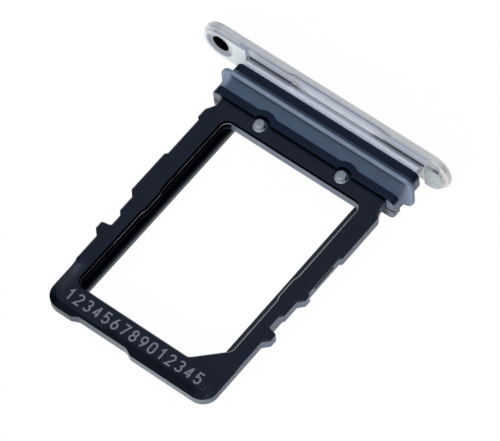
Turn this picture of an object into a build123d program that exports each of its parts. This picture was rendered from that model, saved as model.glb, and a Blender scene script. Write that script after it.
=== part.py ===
from build123d import *
import os

# SIM card tray: a pinned card frame, a moulded carrier with a rubber seal, and a machined end cap.
# Millimetres. X runs along the cap, +Y points from the tail to the cap, +Z is the card side.

# Card that the pocket takes (smallest standard card), and the room round it
card_length = 12.30
card_width = 8.80
card_corner_cut = 1.60
card_end_gap = 0.075
card_side_gap = 0.10
grip_gap = 0.01

# Card frame
pocket_depth = 0.65
ledge_thickness = 0.30
ledge_width = 0.46
pocket_corner_radius = 0.45
cut_corner_radius = 0.40
rail_width = 0.95
pocket_offset = 0.07
tail_width = 1.69
bar_width = 0.94
edge_bevel = 0.09
pocket_bevel = 0.09

# Outline of the frame's sides, measured out from the plain rail
guide_step = 0.31
relief_depth = 0.14
tab_reach = 0.34
latch_depth = 0.21
waist_length = 0.52
shoulder_slope = 0.50
shoulder_radius = 0.35
corner_round = 0.03

# Places along the sides, measured from the middle of the pocket towards the cap
tab_start = -3.00
tab_length = 0.50
tab_slope = 0.35
latch_length = 0.75
latch_slope = 0.25
guide_start = -0.05
guide_slope = 0.35
tooth_length = 0.38
relief_slope = 0.14
right_relief_length = 2.75
left_relief_length = 2.85
left_relief_setback = 0.60
steep_side = 0.10

# Shallow groove in the wall of the right relief
side_groove_length = 1.65
side_groove_setback = 0.55
side_groove_height = 0.18
side_groove_drop = 0.17
side_groove_depth = 0.10

# Small grips that hold the card from both sides
grip_length = 1.20
grip_slope = 0.30

# Tail
left_tail_radius = 0.95
right_tail_radius = 0.90
tail_inset = 0.05
tail_lead_length = 2.70
tail_lead_slope = 0.25
tail_bevel_width = 0.35
tail_bevel_depth = 0.18
tail_bevel_length = 2.50
tail_bevel_runout = 0.60
tail_bevel_bend = 0.50
tail_notch_depth = 0.20
tail_notch_length = 3.94
tail_notch_slope = 0.42
tail_notch_offset = -1.52
tail_notch_radius = 0.40
web_setback = 0.36
web_overlap = 0.12

# Rivets, their lugs on the front bar and the bosses round them on the carrier
rivet_diameter = 0.78
rivet_spacing = 5.42
rivet_setback = 0.22
rivet_stand = 0.20
rivet_round = 0.14
nick_width = 0.12
nick_depth = 0.13
nick_drop = 0.15
nick_angle = 25
rivet_gap = 0.01
lug_wall = 0.11
lug_gap = 0.05
boss_wall = 0.35

# Carrier: collar, seal groove and rear flange in one bar with rounded ends
neck_width = 12.10
neck_height = 1.40
neck_corner_radius = 0.45
neck_edge_round = 0.12
neck_offset = -0.05
collar_length = 0.495
collar_drop = 0.28
seam_drop = 0.15
seam_height = 0.10
seam_depth = 0.10
groove_length = 1.265
groove_depth = 0.25
flange_length = 0.53
shelf_width = 7.40
shelf_length = 0.74
shelf_chamfer = 0.15
shelf_gap = 0.01

# Seal ring: a hollow ramp that rises to a rounded lip
seal_gap = 0.01
ramp_setback = 0.08
ramp_length = 0.55
lip_width = 0.33
lip_reach = 0.42
lip_end_reach = 0.31
lip_corner_radius = 0.62
lip_round = 0.12

# End cap
cap_length = 16.30
cap_height = 2.40
plate_thickness = 0.48
plate_round = 0.22
tray_offset = 0.89
pad_inset = 0.18
pad_thickness = 0.22
eyelet_pad_length = 2.85
plain_pad_length = 1.22
plain_pad_drop = 0.34
plain_pad_radius = 0.28
eject_hole_diameter = 1.05
eyelet_diameter = 2.00
eyelet_angle = 149
scoop_start = -3.28
scoop_length = 6.90
scoop_depth = 0.09
scoop_entry = 0.30
scoop_runout = 1.00
scoop_bevel = 0.06

# Tongue of the cap
root_width = 11.50
root_offset = -0.20
root_length = 0.71
tongue_thickness = 0.50
root_groove_width = 0.25
root_groove_depth = 0.12
tenon_width = 10.20
tenon_length = 1.45
tenon_gap = 0.02

# Sizes that follow from the ones above
pocket_length = card_length + 2 * card_end_gap
pocket_width = card_width + 2 * card_side_gap
window_width = pocket_width - 2 * ledge_width
grip_reach = card_side_gap - grip_gap
frame_thickness = pocket_depth + ledge_thickness
half_width = pocket_width / 2 + rail_width
outline_radius = edge_bevel + corner_round
guide_half_width = half_width + guide_step
left_half_width = half_width - tail_inset
web_half_width = half_width - latch_depth
rivet_radius = rivet_diameter / 2
lug_radius = rivet_radius + lug_wall
boss_radius = lug_radius + lug_gap + boss_wall
core_width = neck_width - 2 * groove_depth
core_height = neck_height - 2 * groove_depth
core_corner_radius = neck_corner_radius - groove_depth
neck_length = collar_length + groove_length + flange_length
overall_length = tail_width + pocket_length + bar_width + neck_length + root_length + plate_thickness

# Stations along Y
tail_y = -overall_length / 2
pocket_y = tail_y + tail_width
pocket_middle_y = pocket_y + pocket_length / 2
bar_y = pocket_y + pocket_length
collar_y = bar_y + bar_width
groove_y = collar_y + collar_length
lip_y = groove_y + ramp_setback + ramp_length
neck_end_y = collar_y + neck_length
plate_y = neck_end_y + root_length
rivet_y = collar_y - rivet_setback

# Levels along Z: every piece lies on the middle plane of the cap
middle_z = cap_height / 2
frame_top_z = middle_z + frame_thickness / 2
ledge_top_z = frame_top_z - pocket_depth
frame_bottom_z = ledge_top_z - ledge_thickness
neck_top_z = middle_z + neck_height / 2
neck_bottom_z = middle_z - neck_height / 2
shelf_top_z = ledge_top_z - shelf_gap
tongue_top_z = middle_z + tongue_thickness / 2
rivet_top_z = frame_top_z + rivet_stand

# Places along X
tray_x = tray_offset
pocket_x = tray_x + pocket_offset
neck_x = tray_x + neck_offset
eyelet_x = -(cap_length - cap_height) / 2
scoop_x = tray_x + scoop_start

# Hollow of the seal's ramp: share of its length, and share of the lip's reach that it has risen to there
ramp_shape = [(0.0, -0.06), (0.4, 0.05), (0.72, 0.22), (1.0, 0.55)]

# Slack for picking corners by their place
tiny = 0.01

rivet_places = [(tray_x - rivet_spacing / 2, rivet_y), (tray_x + rivet_spacing / 2, rivet_y)]


def flat(z):
    """Plane parallel to the floor at height z."""
    return Plane.XY.offset(z)


def across(x, y):
    """Upright plane across the tray at y, centred on x; a negative extrusion runs towards the cap."""
    return Plane(origin=(x, y, middle_z), x_dir=(1, 0, 0), z_dir=(0, -1, 0))


def side_outline(side, relief_start, relief_length):
    """Points of one side of the frame from tab to front bar; side is +1 (right) or -1 (left)."""
    tab_end = tab_start + tab_length
    latch_start = tab_end + steep_side
    latch_end = latch_start + latch_length
    waist_start = collar_y - pocket_middle_y - waist_length
    profile = [
        (half_width, tab_start - tab_slope),
        (half_width + tab_reach, tab_start),
        (half_width + tab_reach, tab_end),
        (half_width - latch_depth, latch_start),
        (half_width - latch_depth, latch_end),
        (half_width, latch_end + latch_slope),
        (half_width, guide_start - guide_slope),
        (guide_half_width, guide_start),
        (guide_half_width, relief_start),
        (guide_half_width - relief_depth, relief_start + relief_slope),
        (guide_half_width - relief_depth, relief_start + relief_length - relief_slope),
        (guide_half_width, relief_start + relief_length),
        (guide_half_width, waist_start - shoulder_slope),
        (half_width, waist_start),
        (half_width, collar_y - pocket_middle_y),
    ]
    return [(tray_x + side * out, pocket_middle_y + along) for out, along in profile]


shoulder_start = collar_y - pocket_middle_y - waist_length - shoulder_slope
right_relief_start = guide_start + tooth_length
left_relief_start = shoulder_start - left_relief_setback - left_relief_length
right_side = side_outline(1, right_relief_start, right_relief_length)
left_side = side_outline(-1, left_relief_start, left_relief_length)
notch_start = tray_x + tail_notch_offset - tail_notch_length / 2
notch_end = tray_x + tail_notch_offset + tail_notch_length / 2
tail_edge = [
    (tray_x - half_width, tail_y + tail_lead_length + tail_lead_slope),
    (tray_x - left_half_width, tail_y + tail_lead_length),
    (tray_x - left_half_width, tail_y),
    (notch_start, tail_y),
    (notch_start + tail_notch_slope, tail_y + tail_notch_depth),
    (notch_end - tail_notch_slope, tail_y + tail_notch_depth),
    (notch_end, tail_y),
    (tray_x + half_width, tail_y),
]

# Pocket outline with the card's cut corner at the right of the tail
with BuildSketch() as pocket:
    with Locations((pocket_x, pocket_middle_y)):
        Rectangle(pocket_width, pocket_length)
    tail_corners = pocket.vertices().group_by(Axis.Y)[0].sort_by(Axis.X)
    round_corners = pocket.vertices().group_by(Axis.Y)[-1] + tail_corners[:1]
    fillet(round_corners, radius=pocket_corner_radius)
    cut_corner = pocket.vertices().group_by(Axis.Y)[0].sort_by(Axis.X)[-1]
    chamfer(cut_corner, length=card_corner_cut)
    cut_right = pocket.vertices().sort_by(Axis.X)[-2:].sort_by(Axis.Y)[0]
    cut_tail = pocket.vertices().group_by(Axis.Y)[0].sort_by(Axis.X)[-1]
    fillet([cut_right, cut_tail], radius=cut_corner_radius)

# Card frame
with BuildPart() as tray_frame:
    with BuildSketch(flat(ledge_top_z)) as outline:
        with BuildLine():
            Polyline(right_side + left_side[::-1] + tail_edge, close=True)
        make_face()
        tail_corners = outline.vertices().group_by(Axis.Y)[0].sort_by(Axis.X)
        fillet(tail_corners[0], radius=left_tail_radius)
        tail_corners = outline.vertices().group_by(Axis.Y)[0].sort_by(Axis.X)
        fillet(tail_corners[-1], radius=right_tail_radius)
        notch_y = tail_y + tail_notch_depth
        notch = outline.vertices().filter_by(
            lambda v: v.Y < notch_y + tiny and notch_start - tiny < v.X < notch_end + tiny
        )
        fillet(notch, radius=tail_notch_radius)
        shoulder_y = pocket_middle_y + shoulder_start
        shoulders = outline.vertices().filter_by(lambda v: shoulder_y - tiny < v.Y < collar_y - tiny)
        fillet(shoulders, radius=shoulder_radius)
        first_y = pocket_middle_y + tab_start - tab_slope
        steps = outline.vertices().filter_by(lambda v: first_y - tiny < v.Y < shoulder_y - shoulder_radius)
        fillet(steps, radius=outline_radius)
        with Locations(*rivet_places):
            Circle(lug_radius)
        add(pocket.sketch, mode=Mode.SUBTRACT)
        for side in (1, -1):
            wall_x = pocket_x + side * pocket_width / 2
            tip_x = wall_x - side * grip_reach
            half_grip = grip_length / 2
            with BuildLine():
                Polyline(
                    (wall_x, pocket_middle_y - half_grip - grip_slope),
                    (tip_x, pocket_middle_y - half_grip),
                    (tip_x, pocket_middle_y + half_grip),
                    (wall_x, pocket_middle_y + half_grip + grip_slope),
                    close=True,
                )
            make_face()
    extrude(amount=pocket_depth)
    with BuildSketch(flat(frame_bottom_z)) as web:
        web_length = bar_y + web_overlap - tail_y - web_setback
        with Locations((tray_x, tail_y + web_setback + web_length / 2)):
            Rectangle(2 * web_half_width, web_length)
        fillet(web.vertices().group_by(Axis.Y)[0], radius=left_tail_radius)
        with BuildSketch(mode=Mode.PRIVATE) as window:
            add(pocket.sketch)
            with Locations((pocket_x, pocket_middle_y)):
                Rectangle(window_width, pocket_length, mode=Mode.INTERSECT)
            with Locations((pocket_x, bar_y)):
                Rectangle(window_width, 2 * web_overlap)
        add(window.sketch, mode=Mode.SUBTRACT)
    extrude(amount=ledge_thickness)
    top_face = tray_frame.faces().filter_by(Axis.Z).sort_by(Axis.Z)[-1]
    free_edges = top_face.outer_wire().edges().filter_by(lambda e: e.center().Y < collar_y - tiny)
    chamfer(free_edges, length=edge_bevel)
    chamfer(top_face.inner_wires()[0].edges(), length=pocket_bevel)
    # Lead-in bevel round the tail, a wedge carried along the tail's three edges that runs out at both sides
    bevel_end_y = tail_y + tail_bevel_length
    with BuildLine():
        tail_path = FilletPolyline(
            (tray_x - left_half_width - tail_bevel_width, bevel_end_y + tail_bevel_runout, frame_top_z),
            (tray_x - left_half_width, bevel_end_y, frame_top_z),
            (tray_x - left_half_width, tail_y, frame_top_z),
            (tray_x + half_width, tail_y, frame_top_z),
            (tray_x + half_width, bevel_end_y, frame_top_z),
            (tray_x + half_width + tail_bevel_width, bevel_end_y + tail_bevel_runout, frame_top_z),
            radius=[tail_bevel_bend, left_tail_radius, right_tail_radius, tail_bevel_bend],
        )
    path_start = tail_path % 0
    with BuildSketch(Plane(origin=tail_path @ 0, x_dir=Vector(0, 0, 1).cross(path_start), z_dir=path_start)):
        with BuildLine():
            Polyline(
                (-tail_bevel_width, -2 * tail_bevel_depth),
                (2 * tail_bevel_width, tail_bevel_depth),
                (-tail_bevel_width, tail_bevel_depth),
                close=True,
            )
        make_face()
    sweep(path=tail_path, mode=Mode.SUBTRACT)
    # Groove in the wall of the right relief
    groove_start_y = pocket_middle_y + right_relief_start + side_groove_setback
    with BuildSketch(flat(frame_top_z - side_groove_drop)):
        groove_x = tray_x + guide_half_width - relief_depth
        with Locations((groove_x, groove_start_y + side_groove_length / 2)):
            Rectangle(2 * side_groove_depth, side_groove_length)
    extrude(amount=-side_groove_height, mode=Mode.SUBTRACT)
    with Locations(*[(x, y, frame_top_z) for x, y in rivet_places]):
        Hole(rivet_radius + rivet_gap)

# Carrier: one bar of constant section, grooved for the seal, with a shelf under the frame's front bar
with BuildPart() as carrier:
    with BuildSketch(across(neck_x, collar_y)):
        RectangleRounded(neck_width, neck_height, neck_corner_radius)
    extrude(amount=-neck_length)
    with BuildSketch(across(neck_x, collar_y)):
        with Locations((0, -collar_drop / 2)):
            RectangleRounded(neck_width, neck_height + collar_drop, neck_corner_radius)
    extrude(amount=-collar_length)
    collar_faces = carrier.faces().filter_by(Axis.Y).sort_by(Axis.Y)
    outer_edges = collar_faces[0].edges() + collar_faces[-1].edges()
    fillet(outer_edges, radius=neck_edge_round)
    with BuildSketch(across(neck_x, groove_y)):
        RectangleRounded(neck_width + groove_depth, neck_height + groove_depth, neck_corner_radius)
        RectangleRounded(core_width, core_height, core_corner_radius, mode=Mode.SUBTRACT)
    extrude(amount=-groove_length, mode=Mode.SUBTRACT)
    # Parting seam across the front of the collar
    with BuildSketch(across(neck_x, collar_y)):
        with Locations((0, -seam_drop)):
            Rectangle(neck_width, seam_height)
    extrude(amount=-seam_depth, mode=Mode.SUBTRACT)
    # Round bosses beside the rivets, which reach back into the groove
    with BuildSketch(flat(middle_z)):
        with Locations(*rivet_places):
            Circle(boss_radius)
        with Locations((neck_x, groove_y + boss_radius)):
            Rectangle(core_width, 2 * boss_radius, mode=Mode.INTERSECT)
    extrude(amount=neck_top_z - middle_z)
    # Round pockets that take the frame's lugs
    with BuildSketch(flat(shelf_top_z)):
        with Locations(*rivet_places):
            Circle(lug_radius + lug_gap)
    extrude(amount=neck_height, mode=Mode.SUBTRACT)
    with BuildSketch(flat(neck_bottom_z)):
        with Locations((tray_x, collar_y + (collar_length - shelf_length) / 2)):
            Rectangle(shelf_width, shelf_length + collar_length)
    extrude(amount=shelf_top_z - neck_bottom_z)
    shelf_front = carrier.faces().sort_by(Axis.Y)[0]
    chamfer(shelf_front.edges().sort_by(Axis.Z)[0], length=shelf_chamfer)
    # Slot for the cap's tongue
    with BuildSketch(across(tray_x + root_offset, neck_end_y)):
        Rectangle(tenon_width + 2 * tenon_gap, tongue_thickness + 2 * tenon_gap)
    extrude(amount=tenon_length + tenon_gap, mode=Mode.SUBTRACT)
    with Locations(*[(x, y, shelf_top_z) for x, y in rivet_places]):
        Hole(rivet_radius + rivet_gap)

# Seal ring: a band that fills the groove, with the ramp and the lip all round
with BuildPart() as gasket:
    with BuildSketch(across(neck_x, groove_y + seal_gap)):
        RectangleRounded(neck_width, neck_height, neck_corner_radius)
    extrude(amount=-(groove_length - 2 * seal_gap))
    with BuildSketch(across(neck_x, lip_y)):
        RectangleRounded(neck_width + 2 * lip_end_reach, neck_height + 2 * lip_reach, lip_corner_radius)
    extrude(amount=-lip_width)
    crest = gasket.faces().filter_by(Axis.Y).sort_by(Axis.Y)
    fillet(crest[1].outer_wire().edges() + crest[2].outer_wire().edges(), radius=lip_round)
    with BuildPart(mode=Mode.PRIVATE) as ramp:
        for along, risen in ramp_shape:
            with BuildSketch(across(neck_x, groove_y + ramp_setback + along * ramp_length)):
                RectangleRounded(
                    neck_width + 2 * risen * lip_end_reach,
                    neck_height + 2 * risen * lip_reach,
                    neck_corner_radius + risen * (lip_corner_radius - neck_corner_radius),
                )
        loft()
    add(ramp.part)
    with BuildSketch(across(neck_x, groove_y)):
        seat_radius = core_corner_radius + seal_gap
        RectangleRounded(core_width + 2 * seal_gap, core_height + 2 * seal_gap, seat_radius)
    extrude(amount=-groove_length, mode=Mode.SUBTRACT)
    with BuildSketch(flat(middle_z)):
        with Locations(*rivet_places):
            Circle(boss_radius + seal_gap)
    extrude(amount=cap_height, mode=Mode.SUBTRACT)

# End cap: pill-shaped plate, pads at both ends, scoop and tongue
with BuildPart() as end_cap:
    with BuildSketch(across(0, plate_y)):
        SlotOverall(cap_length, cap_height)
    extrude(amount=-plate_thickness)
    fillet(end_cap.faces().sort_by(Axis.Y)[-1].edges(), radius=plate_round)
    with BuildSketch(across(0, plate_y)):
        SlotOverall(cap_length - 2 * pad_inset, cap_height - 2 * pad_inset)
        with Locations((-cap_length / 2 + pad_inset + eyelet_pad_length / 2, 0)):
            Rectangle(eyelet_pad_length, cap_height, mode=Mode.INTERSECT)
    extrude(amount=pad_thickness)
    with BuildSketch(across(0, plate_y)) as plain_pad:
        SlotOverall(cap_length - 2 * pad_inset, cap_height - 2 * pad_inset)
        with Locations((cap_length / 2 - pad_inset - plain_pad_length / 2, -plain_pad_drop)):
            Rectangle(plain_pad_length, cap_height - 2 * pad_inset, mode=Mode.INTERSECT)
        fillet(plain_pad.vertices().group_by(Axis.Y)[-1].sort_by(Axis.X)[0], radius=plain_pad_radius)
    extrude(amount=pad_thickness)
    with BuildSketch(across(tray_x + root_offset, neck_end_y)):
        Rectangle(root_width, tongue_thickness)
    extrude(amount=-root_length)
    with BuildSketch(across(tray_x + root_offset, neck_end_y)):
        Rectangle(tenon_width, tongue_thickness)
    extrude(amount=tenon_length)
    # Milled scoop above the tongue: a steep entry at its left, a long run-out at its right
    with BuildSketch(flat(tongue_top_z)):
        with BuildLine():
            Polyline(
                (scoop_x, plate_y),
                (scoop_x + scoop_entry, plate_y + scoop_depth),
                (scoop_x + scoop_length - scoop_runout, plate_y + scoop_depth),
                (scoop_x + scoop_length, plate_y),
                close=True,
            )
        make_face()
    extrude(amount=cap_height - tongue_top_z, mode=Mode.SUBTRACT)
    scoop_edge = end_cap.edges().filter_by(Axis.X).filter_by(
        lambda e: abs(e.center().Y - plate_y - scoop_depth) < tiny and e.center().Z > cap_height - tiny
    )
    chamfer(scoop_edge, length=scoop_bevel)
    with BuildSketch(flat(tongue_top_z)):
        with Locations((tray_x + root_offset, plate_y - root_groove_width / 2)):
            Rectangle(root_width, root_groove_width)
    extrude(amount=-root_groove_depth, mode=Mode.SUBTRACT)
    with Locations(Plane(origin=(eyelet_x, plate_y - pad_thickness, middle_z), z_dir=(0, -1, 0))):
        CounterSinkHole(eject_hole_diameter / 2, eyelet_diameter / 2, counter_sink_angle=eyelet_angle)

# Rivets
with BuildPart() as rivets:
    with BuildSketch(flat(neck_bottom_z)):
        with Locations(*rivet_places):
            Circle(rivet_radius)
    extrude(amount=rivet_top_z - neck_bottom_z)
    fillet(rivets.faces().filter_by(Axis.Z).group_by(Axis.Z)[-1].edges(), radius=rivet_round)
    # Small nick where the head is turned back off the bar's edge
    with Locations(*[Location((x, y, rivet_top_z), (0, 0, nick_angle)) for x, y in rivet_places]):
        with Locations((rivet_radius, 0, 0)):
            Box(2 * nick_depth, nick_width, 2 * nick_drop, mode=Mode.SUBTRACT)

os.makedirs("parts", exist_ok=True)
pieces = {
    "tray_frame": tray_frame,
    "carrier": carrier,
    "gasket": gasket,
    "end_cap": end_cap,
    "rivets": rivets,
}
for name, piece in pieces.items():
    piece.part.label = name
    export_step(piece.part, f"parts/{name}.step")
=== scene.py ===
# %% [markdown]
# A SIM card tray is five small pieces: an aluminium end cap, a black carrier, a rubber seal, a
# black coated card frame and two steel rivets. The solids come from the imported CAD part, already
# in place and in metres. Here they get their finishes, a camera and light. Loading them first
# gives names to work with and a box to measure against.

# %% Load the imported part
import math

import bpy
import numpy as np
from mathutils import Matrix, Vector


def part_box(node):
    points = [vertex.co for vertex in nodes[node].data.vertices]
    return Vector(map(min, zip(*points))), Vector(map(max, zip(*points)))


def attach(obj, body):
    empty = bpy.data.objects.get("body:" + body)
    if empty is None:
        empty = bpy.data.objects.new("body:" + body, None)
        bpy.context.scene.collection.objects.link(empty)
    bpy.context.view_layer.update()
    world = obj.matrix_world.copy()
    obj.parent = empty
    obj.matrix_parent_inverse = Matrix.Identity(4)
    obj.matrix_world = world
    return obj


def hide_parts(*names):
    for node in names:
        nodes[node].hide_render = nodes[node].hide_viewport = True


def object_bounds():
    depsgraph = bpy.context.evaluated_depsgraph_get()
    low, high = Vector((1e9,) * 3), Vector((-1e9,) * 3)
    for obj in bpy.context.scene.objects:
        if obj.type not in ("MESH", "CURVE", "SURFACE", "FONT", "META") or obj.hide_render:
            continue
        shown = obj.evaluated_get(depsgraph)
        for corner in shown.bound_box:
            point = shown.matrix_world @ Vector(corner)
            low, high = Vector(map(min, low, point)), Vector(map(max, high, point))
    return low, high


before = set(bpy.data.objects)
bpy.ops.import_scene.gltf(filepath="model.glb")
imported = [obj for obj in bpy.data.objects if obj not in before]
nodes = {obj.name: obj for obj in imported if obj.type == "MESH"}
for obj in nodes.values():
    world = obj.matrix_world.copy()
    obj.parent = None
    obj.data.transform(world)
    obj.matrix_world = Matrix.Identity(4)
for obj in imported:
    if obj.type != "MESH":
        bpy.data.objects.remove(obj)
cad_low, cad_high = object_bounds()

scene = bpy.context.scene
mm = 0.001
print("pieces:", sorted(nodes))
print("box in mm:", [round(side / mm, 2) for side in cad_high - cad_low])

# %% [markdown]
# The camera stands high over the tray's right side and looks down on the card pocket. A long lens
# from a quarter of a metre keeps the sides nearly parallel, as close-up pictures of small parts
# are taken. The camera also rolls a little, so its three axes are worked out one by one and put
# into a matrix, which says more than three angles.

# %% Camera
camera_place = Vector((95.77, -98.68, 222.86)) * mm
look = Vector((-0.362775, 0.381917, -0.850020)).normalized()
roll = math.radians(6.277)
level_right = look.cross(Vector((0, 0, 1))).normalized()
level_up = level_right.cross(look)
camera_right = math.cos(roll) * level_right - math.sin(roll) * level_up
camera_up = math.cos(roll) * level_up + math.sin(roll) * level_right

lens_data = bpy.data.cameras.new("camera")
lens_data.sensor_width = 36
lens_data.lens = 360
lens_data.clip_start = 0.01
camera = bpy.data.objects.new("camera", lens_data)
scene.collection.objects.link(camera)
axes = Matrix((camera_right, camera_up, -look)).transposed()
camera.matrix_world = Matrix.Translation(camera_place) @ axes.to_4x4()
scene.camera = camera
tray_middle = Vector((cad_low + cad_high) / 2)
print("camera is", round((camera_place - tray_middle).length, 3), "m from the tray")

# %% [markdown]
# Every finish below is a tree of shader nodes. Making nodes one by one takes many lines, so a few
# helpers do it. The first adds a node and links or types in its inputs. The others stand for the
# nodes that are used most: sums, products and mixes, and a soft step between two values.

# %% Node helpers
def put(tree, kind, inputs=None, **settings):
    """Adds one node. An input given as a socket is linked, and any other value is typed in."""
    made = tree.nodes.new(kind)
    for name, value in settings.items():
        setattr(made, name, value)
    for key, value in (inputs or {}).items():
        if isinstance(value, bpy.types.NodeSocket):
            tree.links.new(value, made.inputs[key])
        else:
            made.inputs[key].default_value = value
    return made


def calc(tree, operation, first, second=0.0):
    """One Math node; returns its result."""
    return put(tree, "ShaderNodeMath", {0: first, 1: second}, operation=operation).outputs[0]


def times(tree, first, *others):
    """The product of masks and shares: where one of them is 0, the result is 0."""
    for other in others:
        first = calc(tree, "MULTIPLY", first, other)
    return first


def most(tree, first, *others):
    """The largest of some masks: where one of them is 1, the result is 1."""
    for other in others:
        first = calc(tree, "MAXIMUM", first, other)
    return first


def rest(tree, mask):
    """What a mask leaves over: 1 minus the mask."""
    return calc(tree, "SUBTRACT", 1.0, mask)


def blend(tree, share, first, second):
    """Mixes two colours: share 0 gives the first and 1 the second."""
    made = put(tree, "ShaderNodeMix", {0: share, 6: first, 7: second}, data_type="RGBA")
    return made.outputs[2]


def rescale(tree, value, low, high, to_low=0.0, to_high=1.0):
    """Carries low...high smoothly to to_low...to_high and holds it there outside."""
    span = {"Value": value, "From Min": low, "From Max": high, "To Min": to_low, "To Max": to_high}
    return put(tree, "ShaderNodeMapRange", span, interpolation_type="SMOOTHSTEP").outputs[0]


def fall(tree, value, low, high):
    """A soft step down: 1 up to low and 0 from high on."""
    return rescale(tree, value, low, high, 1.0, 0.0)


def tint(red, green, blue):
    """Colour from the 0...255 numbers of a picture, as the linear values that shaders use."""
    part = np.array((red, green, blue)) / 255
    linear = np.where(part <= 0.04045, part / 12.92, ((part + 0.055) / 1.055) ** 2.4)
    return (*linear.tolist(), 1.0)


print("mid grey", [round(part, 3) for part in tint(128, 128, 128)])

# %% [markdown]
# Some effects return in several finishes: fine speckle, drawn streaks, a soft box that keeps a
# mark in one place, and an edge that looks slightly round. Each is a node group, built once. They
# read Object coordinates, which are metres here, so the first group turns them into millimetres.

# %% Group: place on the tray
def new_group(name, inputs, outputs):
    """An empty node group with named sockets; returns the group and its two end nodes."""
    group = bpy.data.node_groups.new(name, "ShaderNodeTree")
    for label, kind, value in inputs:
        socket = group.interface.new_socket(label, in_out="INPUT", socket_type=kind)
        socket.default_value = value
    for label, kind in outputs:
        group.interface.new_socket(label, in_out="OUTPUT", socket_type=kind)
    return group, put(group, "NodeGroupInput"), put(group, "NodeGroupOutput")


def use(tree, group, inputs=None):
    """Places a group in a tree with its own values; returns the outputs."""
    return put(tree, "ShaderNodeGroup", inputs, node_tree=group).outputs


def move(tree, operation, first, second=(0.0, 0.0, 0.0)):
    """One Vector Math node; returns its vector."""
    made = put(tree, "ShaderNodeVectorMath", {0: first, 1: second}, operation=operation)
    return made.outputs[0]


number, vector = "NodeSocketFloat", "NodeSocketVector"
mm_per_metre = (1000.0, 1000.0, 1000.0)
place, _, place_out = new_group("place_mm", [], [("Point", vector), ("Normal", vector)])
here = put(place, "ShaderNodeTexCoord").outputs
place.links.new(move(place, "MULTIPLY", here["Object"], mm_per_metre), place_out.inputs["Point"])
place.links.new(here["Normal"], place_out.inputs["Normal"])


def where(tree):
    """Two sets of X, Y and Z: where a point of the surface lies, in mm, and where it faces."""
    spot = use(tree, place)
    lying = put(tree, "ShaderNodeSeparateXYZ", {0: spot["Point"]})
    facing = put(tree, "ShaderNodeSeparateXYZ", {0: spot["Normal"]})
    return lying.outputs, facing.outputs


# %% Group: speckle
speckle, speckle_in, speckle_out = new_group(
    "speckle",
    [("Size", number, 0.1), ("Low", number, 0.4), ("High", number, 0.6), ("Detail", number, 2.0)],
    [("Mask", number)],
)
given = speckle_in.outputs
cloud_sizes = {
    "Vector": use(speckle, place)["Point"],
    "Scale": calc(speckle, "DIVIDE", 1.0, given["Size"]),
    "Detail": given["Detail"],
}
clouds = put(speckle, "ShaderNodeTexNoise", cloud_sizes).outputs["Fac"]
cut = rescale(speckle, clouds, given["Low"], given["High"])
speckle.links.new(cut, speckle_out.inputs["Mask"])


def speckle_mask(tree, size, low, high, detail=2.0):
    """Spots of about that size in mm, cut softly between two levels of the noise."""
    values = {"Size": size, "Low": low, "High": high, "Detail": detail}
    return use(tree, speckle, values)["Mask"]


# %% Group: drawn streaks
streaks, streaks_in, streaks_out = new_group(
    "streaks",
    [("Spacing", vector, (3.0, 0.05, 0.05)), ("Low", number, 0.35), ("High", number, 0.65)],
    [("Mask", number)],
)
given = streaks_in.outputs
drawn = move(streaks, "DIVIDE", use(streaks, place)["Point"], given["Spacing"])
lines = put(streaks, "ShaderNodeTexNoise", {"Vector": drawn, "Scale": 1.0, "Detail": 3.0})
cut = rescale(streaks, lines.outputs["Fac"], given["Low"], given["High"])
streaks.links.new(cut, streaks_out.inputs["Mask"])

# %% Group: soft box
zone, zone_in, zone_out = new_group(
    "soft_box",
    [("Centre", vector, (0, 0, 0)), ("Reach", vector, (1, 1, 1)), ("Soft", number, 0.2)],
    [("Mask", number)],
)
given = zone_in.outputs
away = move(zone, "SUBTRACT", use(zone, place)["Point"], given["Centre"])
spare = move(zone, "SUBTRACT", given["Reach"], move(zone, "ABSOLUTE", away))
sides = put(zone, "ShaderNodeSeparateXYZ", {0: spare}).outputs
nearest = calc(zone, "MINIMUM", calc(zone, "MINIMUM", sides[0], sides[1]), sides[2])
inside = rescale(zone, nearest, times(zone, given["Soft"], -1.0), given["Soft"])
zone.links.new(inside, zone_out.inputs["Mask"])


def box_mask(tree, centre, reach, soft):
    """1 inside a box and 0 outside: its centre, half its sides and its soft border, all in mm."""
    return use(tree, zone, {"Centre": centre, "Reach": reach, "Soft": soft})["Mask"]


# %% Group: soft edges
edges, edges_in, edges_out = new_group("edges", [("Radius", number, 0.02)], [("Normal", vector)])
edge_radius = times(edges, edges_in.outputs["Radius"], mm)
rounded = put(edges, "ShaderNodeBevel", {"Radius": edge_radius}, samples=6)
edges.links.new(rounded.outputs[0], edges_out.inputs["Normal"])
print("groups:", sorted(group.name for group in bpy.data.node_groups))

# %% [markdown]
# Each piece wears one material. These helpers make an empty one around a Principled shader, give
# it relief and put it on a solid, so that the cells below only say what colour, roughness and
# relief the finish has.

# %% Empty finish
def new_finish(name):
    """A material with only a Principled shader; returns the material, its tree and the shader."""
    made = bpy.data.materials.new(name)
    made.use_nodes = True
    tree = made.node_tree
    tree.nodes.clear()
    shader = put(tree, "ShaderNodeBsdfPrincipled")
    put(tree, "ShaderNodeOutputMaterial", {"Surface": shader.outputs[0]})
    return made, tree, shader


def feed(tree, shader, **sockets):
    """Links sockets to the shader's inputs; an underscore in a name stands for a space."""
    for name, socket in sockets.items():
        tree.links.new(socket, shader.inputs[name.replace("_", " ")])


def bump(tree, height, strength, depth, edge_radius=None):
    """The normal of a relief of that depth in mm, over edges rounded by edge_radius if given."""
    values = {"Height": height, "Strength": strength, "Distance": depth * mm}
    if edge_radius is not None:
        values["Normal"] = use(tree, edges, {"Radius": edge_radius})["Normal"]
    return put(tree, "ShaderNodeBump", values).outputs[0]


def wear_finish(node, finish):
    """Puts a material on a CAD solid."""
    solid = nodes[node]
    solid.data.materials.clear()
    solid.data.materials.append(finish)
    print(node, "wears", finish.name)


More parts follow.
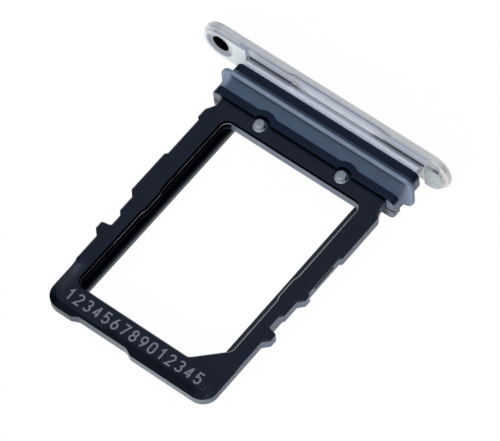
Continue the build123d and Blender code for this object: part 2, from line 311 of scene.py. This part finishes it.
# %% [markdown]
# The card frame is thin metal with a black satin coat that leans to blue. Its faces differ, so
# each gets its own share of the colour, told apart by where a face looks and where it lies. The
# punched side walls get a greyer coat, lightened into lavender as painted reflection of the white
# table. The small bevels are painted dark as shade. A plain top keeps a faint change of tone and a
# very fine grain.

# %% Black coated frame: faces
frame_black, tree, shader = new_finish("frame_black")
lying, facing = where(tree)
clouds = speckle_mask(tree, 2.2, 0.35, 0.7)
grain = speckle_mask(tree, 0.035, 0.3, 0.7)
steep = calc(tree, "ABSOLUTE", facing["Z"])
wall = fall(tree, steep, 0.25, 0.5)
bevel = times(tree, rescale(tree, steep, 0.55, 0.66), fall(tree, steep, 0.76, 0.84))
top_colour = blend(tree, clouds, tint(2, 13, 30), tint(6, 15, 33))
# Painted reflection: the walls' lavender grey stands for the white table they mirror, and the
# tail's end wall gets lighter towards the right.
wall_coat_and_reflection = blend(tree, clouds, tint(78, 88, 106), tint(94, 103, 120))
tail_reflection_share = rescale(tree, lying["X"], -4.0, 3.0)
tail_coat_and_reflection = blend(tree, tail_reflection_share, tint(54, 61, 70), tint(97, 106, 112))
tail_end = rescale(tree, lying["Y"], -8.7, -8.9)
wall_coat_and_reflection = blend(tree, tail_end, wall_coat_and_reflection, tail_coat_and_reflection)
coat_colour = blend(tree, wall, top_colour, wall_coat_and_reflection)

# %% [markdown]
# Inside the card pocket the coat is deep black on the left ledge, a little greyer on the right
# one. Cards have rubbed the pocket's rim: bright on the right rail, brownish at the tail. Under the
# left rim runs a bright hairline, partly a burr and partly a painted highlight. Each of these is a
# soft box times a direction, and the darkest faces become black metal, which mirrors nothing.

# %% Black coated frame: pocket places
pocket = box_mask(tree, (0.96, -1.365, 1.2), (4.605, 6.33, 0.5), 0.005)
outer = times(tree, rest(tree, pocket), rescale(tree, facing["X"], 0.3, 0.6))
lip = times(tree, bevel, fall(tree, lying["Z"], 1.62, 1.645))
rail_rim = times(tree, lip, rescale(tree, facing["X"], -0.25, -0.55))
tail_rim = times(tree, lip, rescale(tree, facing["Y"], 0.25, 0.55))
tail_rim = times(tree, tail_rim, rescale(tree, lying["X"], -3.1, -2.7))
rim = times(tree, pocket, most(tree, rail_rim, tail_rim))
low = fall(tree, lying["Z"], 1.1, 1.3)
ledge = times(tree, pocket, low, rescale(tree, facing["Z"], 0.8, 0.95))
right_half = rescale(tree, lying["X"], 0.5, 1.5)
rubbed = times(tree, rescale(tree, lying["X"], -3.26, -3.1), fall(tree, lying["X"], -2.5, -2.4))
left_wall = times(tree, pocket, wall, rescale(tree, facing["X"], 0.05, 0.3))
# A bright hairline under the left rim: partly a burr, partly a painted highlight.
burr_highlight_line = box_mask(tree, (-3.0, -1.3, 1.54), (1.0, 6.2, 0.032), 0.008)
burr_highlight_mottle = speckle_mask(tree, 1.1, 0.4, 0.65)

# %% Black coated frame: pocket colours
# Painted shade: bevels are dark for the dark room they mirror, and the outer ones are a little
# lighter as painted reflection.
bevel_shade_colour = blend(tree, outer, tint(2, 3, 6), tint(26, 33, 45))
rim_colour = blend(tree, tail_rim, tint(172, 173, 179), tint(112, 105, 102))
ledge_colour = blend(tree, rubbed, tint(8, 14, 26), tint(26, 32, 40))
ledge_colour = blend(tree, right_half, ledge_colour, tint(30, 36, 46))
burr_highlight_colour = blend(tree, burr_highlight_mottle, tint(84, 90, 102), tint(142, 148, 158))
left_colour = blend(tree, burr_highlight_line, tint(16, 20, 28), burr_highlight_colour)
left_colour = blend(tree, low, left_colour, tint(34, 39, 47))
coat_colour = blend(tree, bevel, coat_colour, bevel_shade_colour)
coat_colour = blend(tree, left_wall, coat_colour, left_colour)
coat_colour = blend(tree, ledge, coat_colour, ledge_colour)
coat_colour = blend(tree, rim, coat_colour, rim_colour)
dull_ledge = times(tree, ledge, rest(tree, most(tree, right_half, rubbed)))
dull_wall = times(tree, left_wall, rest(tree, most(tree, low, burr_highlight_line)))
dull_bevel = times(tree, bevel, rest(tree, most(tree, rim, outer)))
metal = most(tree, dull_ledge, dull_wall, dull_bevel, times(tree, rim, 0.5))

# %% [markdown]
# The tail is held by fingers and nails, which leaves pale scuffs near its two corners. Speckle
# breaks each soft box into small marks. The tail's long bevel and the strip of top beside it are
# painted dark and made black metal, as painted shade. The relief is only grain, laid over edges
# that are rounded by a hundredth of a millimetre.
# The relief is only grain, laid over edges that are rounded by a hundredth of a millimetre.

# %% Black coated frame: scuffs and relief
scuffs = speckle_mask(tree, 0.1, 0.54, 0.66, 3.0)
left_mark = box_mask(tree, (-4.2, -6.9, 1.6), (0.15, 0.25, 0.3), 0.3)
right_mark = box_mask(tree, (5.6, -8.75, 1.6), (0.45, 0.3, 0.3), 0.25)
marks = times(tree, most(tree, left_mark, right_mark), scuffs, 0.6)
marks = most(tree, marks, times(tree, left_mark, 0.3))
# A lighter patch over the bevel at the tail's left end.
pale_left_patch = times(tree, box_mask(tree, (-4.3, -7.6, 1.6), (0.3, 0.6, 0.3), 0.5), 0.45)
coat_colour = blend(tree, marks, coat_colour, tint(98, 99, 118))
coat_colour = blend(tree, pale_left_patch, coat_colour, tint(66, 66, 74))
lead_in = times(tree, rescale(tree, steep, 0.84, 0.87), fall(tree, steep, 0.92, 0.96))
lead_in = times(tree, lead_in, rescale(tree, facing["Y"], -0.2, -0.4))
tail_shade = box_mask(tree, (2.6, -9.05, 1.7), (3.2, 0.25, 0.12), 0.3)
# Painted shade: the tail's bevel and the strip beside it are darkened and lose their shine.
tail_painted_shade = times(tree, most(tree, lead_in, tail_shade), rest(tree, wall))
coat_colour = blend(tree, tail_painted_shade, coat_colour, tint(2, 8, 21))
feed(
    tree,
    shader,
    Base_Color=coat_colour,
    Roughness=rescale(tree, grain, 0.0, 1.0, 0.26, 0.38),
    Metallic=most(tree, metal, times(tree, tail_painted_shade, 0.78)),
    Normal=bump(tree, grain, 0.12, 0.01, edge_radius=0.012),
)
shader.inputs["IOR"].default_value = 1.36
wear_finish("tray_frame", frame_black)

# %% [markdown]
# The carrier is a black moulded bar, a shade bluer than the frame. Its end faces are painted pale
# grey as painted reflection of the white table, broken by mottle. The strip just above the card
# frame lies in shade, less so where it bulges round the rivets. Moulded plastic has a very fine
# grain and a soft sheen, with no bright edges.

# %% Moulded carrier
carrier_black, tree, shader = new_finish("carrier_black")
_, facing = where(tree)
clouds = speckle_mask(tree, 1.6, 0.3, 0.7)
grain = speckle_mask(tree, 0.05, 0.3, 0.7)
end_mottle = speckle_mask(tree, 0.14, 0.35, 0.65, 4.0)
wall = fall(tree, calc(tree, "ABSOLUTE", facing["Z"]), 0.25, 0.5)
middle = box_mask(tree, (0.89, 6.5, 1.2), (5.5, 2.0, 2.0), 0.02)
# Painted reflection: end faces are pale grey where they mirror the white table.
pale_reflection = times(tree, wall, rest(tree, middle))
arch_reach = (0.58, 0.17, 0.15)
arches = [box_mask(tree, (x, 5.98, 1.8), arch_reach, 0.03) for x in (-1.82, 3.6)]
lit_arch = times(tree, most(tree, *arches), 0.5)
shaded = times(tree, middle, rescale(tree, facing["Y"], -0.25, -0.75), rest(tree, lit_arch))
moulded = blend(tree, clouds, tint(0, 15, 34), tint(2, 18, 38))
moulded = blend(tree, shaded, moulded, tint(10, 13, 18))
pale_reflection_colour = blend(tree, end_mottle, tint(78, 84, 98), tint(110, 116, 130))
feed(
    tree,
    shader,
    Base_Color=blend(tree, pale_reflection, moulded, pale_reflection_colour),
    Roughness=rescale(tree, grain, 0.0, 1.0, 0.30, 0.42),
    Metallic=shaded,
    Normal=bump(tree, grain, 0.1, 0.01, edge_radius=0.03),
)
shader.inputs["IOR"].default_value = 1.3
wear_finish("carrier", carrier_black)

# %% [markdown]
# The seal is slate grey silicone rubber. Its lip is paler than its hollow, partly from fine dust
# and partly as a painted highlight where the crest faces the light. The two ends get the same pale
# colour as a painted highlight, and the slope towards the tray is painted darker as shade. Height
# and place along the seal drive the paler shares, and soft clouds break them up.

# %% Rubber seal
seal_grey, tree, shader = new_finish("seal_grey")
lying, facing = where(tree)
clouds = speckle_mask(tree, 0.7, 0.3, 0.75, 4.0)
grain = speckle_mask(tree, 0.06, 0.3, 0.7)
# Painted shade: the slope that faces the tray is darker.
slope_shade = rescale(tree, facing["Y"], -0.05, -0.75)
crest = times(tree, rescale(tree, lying["Z"], 2.06, 2.2), rescale(tree, facing["Z"], 0.62, 1.0))
left_end = rescale(tree, lying["X"], -4.6, -5.0)
right_end = rescale(tree, lying["X"], 6.68, 7.05)
body = blend(tree, slope_shade, tint(64, 82, 102), tint(39, 53, 71))
body = blend(tree, times(tree, clouds, 0.3), body, tint(46, 60, 80))
# Dust on the crest, plus a painted highlight on the crest and the two ends.
dust_and_highlight = blend(tree, clouds, tint(108, 122, 140), tint(122, 135, 152))
feed(
    tree,
    shader,
    Base_Color=blend(tree, most(tree, crest, left_end, right_end), body, dust_and_highlight),
    Roughness=rescale(tree, clouds, 0.0, 1.0, 0.45, 0.6),
    Normal=bump(tree, grain, 0.15, 0.02),
)
shader.inputs["IOR"].default_value = 1.36
wear_finish("gasket", seal_grey)

# %% [markdown]
# The end cap is machined aluminium with a fine blasted skin. Its tongue keeps the drawn lines of
# the cutter, which run along the cap. The groove at the tongue's root gets two lines of painted
# shade, and the scoop is a fresh bright cut with a line of painted shade at its top; the back face
# gets one under its top edge. Soft boxes find these places. The scoop's left end is a leaf, so its
# border is a parabola in height.

# %% Aluminium cap: cuts and pads
cap_metal, tree, shader = new_finish("cap_metal")
lying, facing = where(tree)
skin = speckle_mask(tree, 0.05, 0.3, 0.7, 3.0)
clouds = speckle_mask(tree, 1.2, 0.35, 0.7)
grit = speckle_mask(tree, 0.09, 0.35, 0.65)
lines = use(tree, streaks, {"Spacing": (1.6, 0.04, 0.04), "Low": 0.42, "High": 0.62})["Mask"]
tongue = box_mask(tree, (0.69, 8.1, 1.2), (5.8, 0.69, 0.4), 0.01)
groove = box_mask(tree, (0.69, 8.67, 1.33), (5.74, 0.12, 0.09), 0.01)
# Painted shade: two dark lines in the groove at the tongue's root.
near_shade_line = box_mask(tree, (0.69, 8.715, 1.33), (5.74, 0.022, 0.09), 0.01)
far_shade_line = box_mask(tree, (0.78, 8.8, 1.45), (5.83, 0.04, 0.12), 0.05)
milled = box_mask(tree, (0.75, 8.8, 1.45), (2.45, 0.3, 0.3), 0.3)
far_shade_line = times(tree, far_shade_line, rest(tree, times(tree, milled, 0.6)))
scoop = box_mask(tree, (1.1, 8.9, 1.9), (3.35, 0.08, 0.42), 0.12)
drop = calc(tree, "SUBTRACT", 2.2, lying["Z"])
from_tip = calc(tree, "ADD", lying["X"], 2.39)
leaf = calc(tree, "SUBTRACT", from_tip, times(tree, drop, drop, 2.0))
scoop = times(tree, scoop, rescale(tree, leaf, 0.0, 0.15))
# Painted shade: a dark line along the scoop's top.
scoop_shade_line = box_mask(tree, (1.0, 8.9, 2.27), (3.3, 0.09, 0.04), 0.015)
back = box_mask(tree, (0.6, 8.8, 1.9), (6.2, 0.02, 0.47), 0.01)
# Painted shade: a dark line under the back face's top edge.
back_edge_shade = box_mask(tree, (0.6, 8.8, 2.25), (6.2, 0.02, 0.04), 0.03)
back_edge_shade = times(tree, back_edge_shade, rescale(tree, lying["X"], -2.0, 5.0, 1.0, 0.6))
eyelet_pad = box_mask(tree, (-6.6, 8.58, 1.2), (1.6, 0.1, 1.2), 0.01)
plain_pad = box_mask(tree, (7.3, 8.58, 1.0), (0.8, 0.1, 1.1), 0.01)

# %% [markdown]
# The pin hole is painted dark as shade, and its countersink is painted darker than the pad round
# it as shade, most of all on its lower side. Distance from the hole's axis finds both. The shelves
# over the two pads, the end of a pad and the chamfer are told apart by where they face; the shelves
# and the chamfer get painted shade.

# %% Aluminium cap: hole and edges
hole_x, hole_z = -6.95, 1.2
beside = calc(tree, "SUBTRACT", lying["X"], hole_x)
above = calc(tree, "SUBTRACT", lying["Z"], hole_z)
from_hole = put(tree, "ShaderNodeCombineXYZ", {0: beside, 2: above}).outputs[0]
distance = put(tree, "ShaderNodeVectorMath", {0: from_hole}, operation="LENGTH").outputs["Value"]
# Painted shade: the inside of the pin hole is near black.
hole_shade = fall(tree, distance, 0.53, 0.55)
tilted = rescale(tree, facing["Y"], -0.985, -0.97)
tilted = times(tree, tilted, rescale(tree, facing["Y"], -0.3, -0.5))
rise = calc(tree, "ADD", above, times(tree, beside, 0.4))
# Painted shade: the countersink is darker, most on its lower side.
countersink_shade = times(tree, fall(tree, distance, 0.84, 0.92), tilted)
countersink_shade = times(tree, countersink_shade, rescale(tree, rise, -0.2, 0.4, 1.0, 0.35))
shelf = rescale(tree, facing["Z"], 0.5, 0.8)
# Painted shade on the shelves over the two pads, deepening towards the plain pad's right.
eyelet_shelf_shade = times(tree, box_mask(tree, (-6.4, 8.69, 2.2), (1.3, 0.1, 0.06), 0.02), shelf)
plain_shelf_shade = times(tree, box_mask(tree, (7.25, 8.69, 1.88), (0.4, 0.1, 0.05), 0.03), shelf)
pad_end = rescale(tree, lying["X"], -4.9, -4.95)
pad_end = times(tree, rescale(tree, facing["X"], 0.6, 0.8), pad_end)
left_side = times(tree, rescale(tree, facing["X"], -0.1, -0.5), 0.7)
# Painted shade: the scoop's chamfer is darkened and loses its shine.
chamfer_shade = rescale(tree, facing["Z"], 0.5, 0.6)
chamfer_shade = times(tree, rescale(tree, facing["Y"], -0.5, -0.6), chamfer_shade)

# %% [markdown]
# The colours then go on in turn, the blasted skin first, the cuts next and the dark lines and
# edges last, so that a later one covers an earlier one. Half of the shine is metal. Edges that
# should not mirror the room lose that half.

# %% Aluminium cap: colours
end_share = rescale(tree, lying["X"], -5.0, 6.0)
silver = blend(tree, end_share, tint(203, 204, 206), tint(209, 207, 205))
silver = blend(tree, times(tree, clouds, 0.5), silver, tint(208, 208, 207))
brushed = blend(tree, lines, tint(246, 248, 251), tint(233, 236, 242))
brushed = blend(tree, times(tree, grit, 0.5), brushed, tint(214, 218, 228))
back_colour = blend(tree, times(tree, lines, 0.4), tint(208, 213, 225), tint(188, 193, 206))
lower_cut = fall(tree, lying["Z"], 1.75, 2.0)
scoop_colour = blend(tree, lower_cut, tint(200, 205, 219), tint(240, 245, 252))
pad_share = rescale(tree, lying["X"], -7.6, -6.0)
eyelet_colour = blend(tree, pad_share, tint(208, 211, 216), tint(211, 219, 220))
plain_colour = blend(tree, grit, tint(154, 163, 167), tint(190, 197, 199))
shelf_share = rescale(tree, lying["X"], 7.2, 7.36)
shelf_shade_colour = blend(tree, shelf_share, tint(142, 146, 150), tint(98, 104, 112))
for mask, colour in (
    (tongue, brushed),
    (groove, tint(204, 208, 219)),
    (back, back_colour),
    (back_edge_shade, tint(110, 114, 126)),
    (scoop, scoop_colour),
    (eyelet_pad, eyelet_colour),
    (plain_pad, plain_colour),
    (scoop_shade_line, tint(56, 60, 76)),
    (near_shade_line, tint(146, 150, 162)),
    (far_shade_line, tint(44, 49, 57)),
    (countersink_shade, tint(134, 141, 150)),
    (eyelet_shelf_shade, tint(178, 181, 193)),
    (plain_shelf_shade, shelf_shade_colour),
    (pad_end, tint(206, 210, 214)),
    (hole_shade, tint(8, 9, 12)),
    (chamfer_shade, tint(144, 148, 156)),
):
    silver = blend(tree, mask, silver, colour)

# %% Aluminium cap: shine and relief
unmirrored = most(tree, pad_end, left_side, times(tree, chamfer_shade, 0.6))
height = calc(tree, "ADD", times(tree, skin, 0.6), times(tree, tongue, lines, 0.8))
feed(
    tree,
    shader,
    Base_Color=silver,
    Roughness=rescale(tree, skin, 0.0, 1.0, 0.32, 0.44),
    Metallic=most(tree, hole_shade, rescale(tree, unmirrored, 0.0, 1.0, 0.5, 0.0)),
    Normal=bump(tree, height, 0.18, 0.02),
)
wear_finish("end_cap", cap_metal)

# %% [markdown]
# The rivets are turned steel pins. Each is pressed through the bar and staked, which leaves a
# narrow crown over a foot that flares onto the bar, and a nick where the tool left the head. The
# CAD part has plain pins, and they stay for collision. A turned shape is a profile carried round
# an axis, so one grid of heights and angles gives a whole pin. The nick is a dent in that grid,
# which keeps the surface closed, where a cut would need a modifier.

# %% Turned pins: sizes in mm
pin_low, pin_high = np.array(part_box("rivets")) / mm
pin_radius = (pin_high[1] - pin_low[1]) / 2
bar_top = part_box("tray_frame")[1][2] / mm
pin_y = pin_low[1] + pin_radius
pin_middles = np.array(((pin_low[0] + pin_radius, pin_y), (pin_high[0] - pin_radius, pin_y)))
foot_radii = (0.375, 0.37, 0.35, 0.327, 0.312, 0.303, 0.297)
foot_heights = (0.0, 0.014, 0.032, 0.06, 0.1, 0.15, 0.2)
crown_radii = (0.29, 0.277, 0.255, 0.222, 0.175, 0.115, 0.055)
crown_heights = (0.24, 0.276, 0.303, 0.322, 0.335, 0.343, 0.347)
head_radii = np.array(foot_radii + crown_radii)
head_heights = np.array(foot_heights + crown_heights)
head_top = 0.348
shank_bevel = 0.03
nick_turn, nick_width = 17.0, 13.0  # degrees
nick_level, nick_reach = 0.13, 0.06
nick_depth = 0.3  # share of the radius
print("pin middles:", pin_middles.round(3).tolist(), "crown at", round(bar_top + head_top, 3))

# %% Turned pins: surface
def turned_pin(middle, turns=72):
    """Points of a pin: the middle plus each radius times the cosine and sine of the turn.

    Each radius has its height beside it. The nick takes off a share of the radius that falls away
    as a bell curve in the turn and in the height.
    """
    radii = np.concatenate(((pin_radius - shank_bevel, pin_radius), head_radii))
    levels = np.concatenate(((pin_low[2], pin_low[2] + shank_bevel), bar_top + head_heights))
    turn = np.linspace(0, 2 * np.pi, turns, endpoint=False)
    across = np.exp(-(((np.degrees(turn) - nick_turn) / nick_width) ** 2))
    upward = np.exp(-(((levels - bar_top - nick_level) / nick_reach) ** 2))
    dent = across * upward[:, None]
    reach = radii[:, None] * (1 - nick_depth * dent)
    x = middle[0] + reach * np.cos(turn)
    y = middle[1] + reach * np.sin(turn)
    z = np.broadcast_to(levels[:, None], reach.shape)
    poles = np.array(((*middle, pin_low[2]), (*middle, bar_top + head_top)))
    return np.vstack((np.stack((x, y, z), axis=2).reshape(-1, 3), poles)), len(radii), turns


def pin_faces(rings, turns, start):
    """Quads between neighbouring rings, and triangles from the end rings to the two poles."""
    here = np.arange(turns)
    after = (here + 1) % turns
    level = turns * np.arange(rings - 1)[:, None]
    above = level + turns
    walls = np.stack((level + here, level + after, above + after, above + here), axis=2)
    last = turns * (rings - 1)
    under = np.stack((after, here, np.full(turns, rings * turns)), axis=1)
    crown_shade = np.stack((last + here, last + after, np.full(turns, rings * turns + 1)), axis=1)
    return [(start + block).tolist() for block in (walls.reshape(-1, 4), under, crown_shade)]


pin_points, pin_facets = [], []
for middle in pin_middles:
    points, rings, turns = turned_pin(middle)
    for block in pin_faces(rings, turns, sum(len(group) for group in pin_points)):
        pin_facets += block
    pin_points.append(points)
pin_mesh = bpy.data.meshes.new("staked_pins")
pin_mesh.from_pydata((np.vstack(pin_points) * mm).tolist(), [], pin_facets)
pin_mesh.polygons.foreach_set("use_smooth", np.ones(len(pin_facets), dtype=bool))
pin_mesh.update()
staked_pins = bpy.data.objects.new("staked_pins", pin_mesh)
scene.collection.objects.link(staked_pins)
print("pin faces:", len(pin_facets))

# %% [markdown]
# Staking leaves a satin head. Its sides are painted a little brighter than its crown, as painted
# light, and the nick is painted dark as shade.

# %% Steel rivets
rivet_steel, tree, shader = new_finish("rivet_steel")
_, facing = where(tree)
skin = speckle_mask(tree, 0.06, 0.3, 0.7, 3.0)
# Painted light and shade: the crown is darker than the sides, and the nicks are near black.
crown_shade = rescale(tree, facing["Z"], 0.3, 0.95)
nick_box = (0.12, 0.11, 0.09)
nick_shadows = [box_mask(tree, (x, 5.65, 1.80), nick_box, 0.015) for x in (-1.56, 3.86)]
steel = blend(tree, crown_shade, tint(130, 138, 147), tint(118, 126, 135))
steel = blend(tree, times(tree, skin, 0.3), steel, tint(142, 149, 157))
steel = blend(tree, most(tree, *nick_shadows), steel, tint(6, 8, 12))
feed(
    tree,
    shader,
    Base_Color=steel,
    Roughness=rescale(tree, skin, 0.0, 1.0, 0.46, 0.58),
    Normal=bump(tree, skin, 0.2, 0.02),
)
shader.inputs["Metallic"].default_value = 0.2
wear_finish("rivets", rivet_steel)
pin_mesh.materials.append(rivet_steel)
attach(staked_pins, "root")
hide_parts("rivets")

# %% [markdown]
# A row of plain counting numbers is etched into the coat of the tail. A laser draws each digit as
# a stroke of one width, so each digit here is a path of straight runs and arcs, and a ribbon is
# carried along it. A font would do too, but strokes give the drawn look and very few faces.

# %% Strokes of the digits
wide, tall = 0.315, 0.635
stroke_width = 0.098


def arc(centre, radii, start, end, count=18):
    """Points on an ellipse: centre plus the two radii times the cosine and sine of the turn."""
    turn = np.radians(np.linspace(start, end, count))
    x = centre[0] + radii[0] * np.cos(turn)
    y = centre[1] + radii[1] * np.sin(turn)
    return np.stack((x, y), axis=1)


def bow(first, pull, last, count=14):
    """Points on a curve from first to last that leans to pull: (1-t)^2, 2t(1-t) and t^2."""
    t = np.linspace(0, 1, count)[:, None]
    start, lean, end = np.array(first), np.array(pull), np.array(last)
    return (1 - t) ** 2 * start + 2 * t * (1 - t) * lean + t**2 * end


half = wide / 2
upper, lower = tall - half, half
loop = 0.185
digit_paths = {
    "0": [
        np.vstack(
            (
                arc((half, upper), (half, half), 0, 180),
                arc((half, lower), (half, half), 180, 360),
                [(wide, upper)],
            )
        )
    ],
    "1": [np.array(((0.03, tall - 0.15), (0.19, tall), (0.19, 0.0)))],
    "2": [np.vstack((arc((half, upper), (half, half), 170, -32), [(0.0, 0.0), (wide, 0.0)]))],
    "3": [
        arc((half, tall - 0.152), (0.145, 0.152), 155, -90),
        arc((half, 0.166), (half, 0.166), 90, -155),
    ],
    "4": [
        np.array(((0.225, 0.0), (0.225, tall))),
        np.array(((0.225, tall), (0.0, 0.165), (wide, 0.165))),
    ],
    "5": [
        np.vstack(
            (
                [(wide - 0.01, tall), (0.035, tall), (0.015, 0.325)],
                arc((half, 0.195), (half, 0.195), 128, -150),
            )
        )
    ],
    "6": [
        arc((half, loop), (half, loop), 0, 360, 30),
        bow((0.0, loop), (0.0, 0.36), (0.20, tall)),
    ],
    "7": [np.array(((0.0, tall), (wide, tall), (0.10, 0.0)))],
    "8": [
        arc((half, tall - 0.15), (0.135, 0.15), -90, 270, 26),
        arc((half, 0.168), (half, 0.168), 90, 450, 28),
    ],
    "9": [
        arc((half, tall - loop), (half, loop), 0, 360, 30),
        bow((wide, tall - loop), (wide, tall - 0.36), (0.115, 0.0)),
    ],
}
print("digits drawn:", "".join(sorted(digit_paths)))

# %% Ribbons along the strokes
def ribbon(path, width):
    """Two rails beside a path: each point plus and minus half a width along a mean normal.

    The mean of the normals of a point's two runs is stretched by one over its cosine to the runs,
    so that corners keep the full width.
    """
    runs = np.diff(path, axis=0)
    runs = runs[np.linalg.norm(runs, axis=1) > 1e-6]
    path = np.vstack((path[:1], path[0] + np.cumsum(runs, axis=0)))
    across = np.stack((-runs[:, 1], runs[:, 0]), axis=1)
    across = across / np.linalg.norm(runs, axis=1)[:, None]
    before, after = np.vstack((across[:1], across)), np.vstack((across, across[-1:]))
    mean = before + after
    mean /= np.linalg.norm(mean, axis=1)[:, None]
    stretch = 1 / np.clip((mean * after).sum(axis=1), 0.35, 1)
    offset = mean * stretch[:, None] * width / 2
    return np.stack((path + offset, path - offset), axis=1)


def ribbon_faces(count, start):
    """Quads between neighbouring points of the two rails, numbered from start."""
    first = start + 2 * np.arange(count - 1)
    return np.stack((first, first + 1, first + 3, first + 2), axis=1)


row = "123456789012345"
row_start = np.array((-3.38, -8.62))
row_pitch = 0.6065
row_level = 1.6765
stroke_step = 0.002
corners, quads, total = [], [], 0
for position, digit in enumerate(row):
    for order, path in enumerate(digit_paths[digit]):
        rails = ribbon(path, stroke_width).reshape(-1, 2)
        rails = rails + row_start + (position * row_pitch - half, 0)
        level = np.full(len(rails), row_level + order * stroke_step)
        corners.append(np.column_stack((rails, level)))
        quads.append(ribbon_faces(len(rails) // 2, total))
        total += len(rails)
digit_mesh = bpy.data.meshes.new("digits")
digit_mesh.from_pydata((np.vstack(corners) * mm).tolist(), [], np.vstack(quads).tolist())
digit_mesh.update()
digits = bpy.data.objects.new("digits", digit_mesh)
scene.collection.objects.link(digits)
up_faces = sum(face.normal.z > 0 for face in digit_mesh.polygons)
print("digit faces:", len(digit_mesh.polygons), "of which face up:", up_faces)

# %% [markdown]
# Etching takes the coat down to dull grey metal. The laser works in tiny dots, so the grey is
# broken by speckle.

# %% Etched grey
etched_grey, tree, shader = new_finish("etched_grey")
dots = speckle_mask(tree, 0.04, 0.3, 0.7, 3.0)
feed(
    tree,
    shader,
    Base_Color=blend(tree, dots, tint(92, 94, 104), tint(120, 121, 130)),
    Roughness=rescale(tree, dots, 0.0, 1.0, 0.6, 0.75),
)
digit_mesh.materials.append(etched_grey)
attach(digits, "root")

# %% [markdown]
# The tray lies on a plain white table. Seen by the camera or in a reflection the table is simply
# white, which is a Light Path mix of emission and paint. A share of paint stays, so that the tray
# still throws a faint shadow.

# %% White table
reach = 2.0
table_corners = [(-reach, -reach, 0), (reach, -reach, 0), (reach, reach, 0), (-reach, reach, 0)]
table_mesh = bpy.data.meshes.new("table")
table_mesh.from_pydata(table_corners, [], [(0, 1, 2, 3)])
table = bpy.data.objects.new("table", table_mesh)
scene.collection.objects.link(table)
table_white = bpy.data.materials.new("table_white")
table_white.use_nodes = True
tree = table_white.node_tree
tree.nodes.clear()
white = (1.0, 1.0, 1.0, 1.0)
glow_share = 0.98
paint = put(tree, "ShaderNodeBsdfDiffuse", {"Color": (0.85, 0.85, 0.86, 1.0)}).outputs[0]
glow = put(tree, "ShaderNodeEmission", {"Color": white, "Strength": 1.0}).outputs[0]
ray = put(tree, "ShaderNodeLightPath").outputs
seen = most(tree, ray["Is Camera Ray"], ray["Is Glossy Ray"], ray["Is Transmission Ray"])
mixed = put(tree, "ShaderNodeMixShader", {0: times(tree, seen, glow_share), 1: paint, 2: glow})
put(tree, "ShaderNodeOutputMaterial", {"Surface": mixed.outputs[0]})
table_mesh.materials.append(table_white)
print("table is", 2 * reach, "m wide")

# %% [markdown]
# Black satin shows its surroundings more than its own colour, so the room matters. A soft bright
# ceiling gives the top faces their faint sheen, a dark horizon keeps the walls deep, and one lamp
# in front and one behind shape the sides. The light leans a little to blue. The camera itself sees
# plain white.

# %% Room
room = bpy.data.worlds.new("room")
scene.world = room
room.use_nodes = True
tree = room.node_tree
tree.nodes.clear()
red_share, blue_share = 0.92, 1.12
direction = put(tree, "ShaderNodeTexCoord").outputs["Generated"]
rise = put(tree, "ShaderNodeSeparateXYZ", {0: direction}).outputs["Z"]
ceiling = rescale(tree, rise, 0.45, 0.75, 0.03, 0.5)
red, blue = times(tree, ceiling, red_share), times(tree, ceiling, blue_share)
shade = put(tree, "ShaderNodeCombineColor", {0: red, 1: ceiling, 2: blue}).outputs[0]
seen = put(tree, "ShaderNodeLightPath").outputs["Is Camera Ray"]
light = blend(tree, seen, shade, white)
backdrop = put(tree, "ShaderNodeBackground", {"Color": light, "Strength": 1.0})
put(tree, "ShaderNodeOutputWorld", {"Surface": backdrop.outputs[0]})


def soft_lamp(name, direction, distance, size, power):
    """A square area lamp that hangs in that direction from the tray and faces it."""
    data = bpy.data.lights.new(name, "AREA")
    data.size = size
    data.energy = power
    lamp = bpy.data.objects.new(name, data)
    scene.collection.objects.link(lamp)
    way = Vector(direction).normalized()
    turn = way.to_track_quat("Z", "Y").to_matrix().to_4x4()
    lamp.matrix_world = Matrix.Translation(way * distance) @ turn


soft_lamp("front_lamp", (0.15, -0.80, 0.58), distance=0.6, size=0.5, power=4.6)
soft_lamp("back_lamp", (0.05, 0.95, 0.40), distance=0.7, size=0.8, power=1.8)

# %% [markdown]
# The Standard view shows colours as they are written.

# %% Finish
scene.view_settings.view_transform = "Standard"
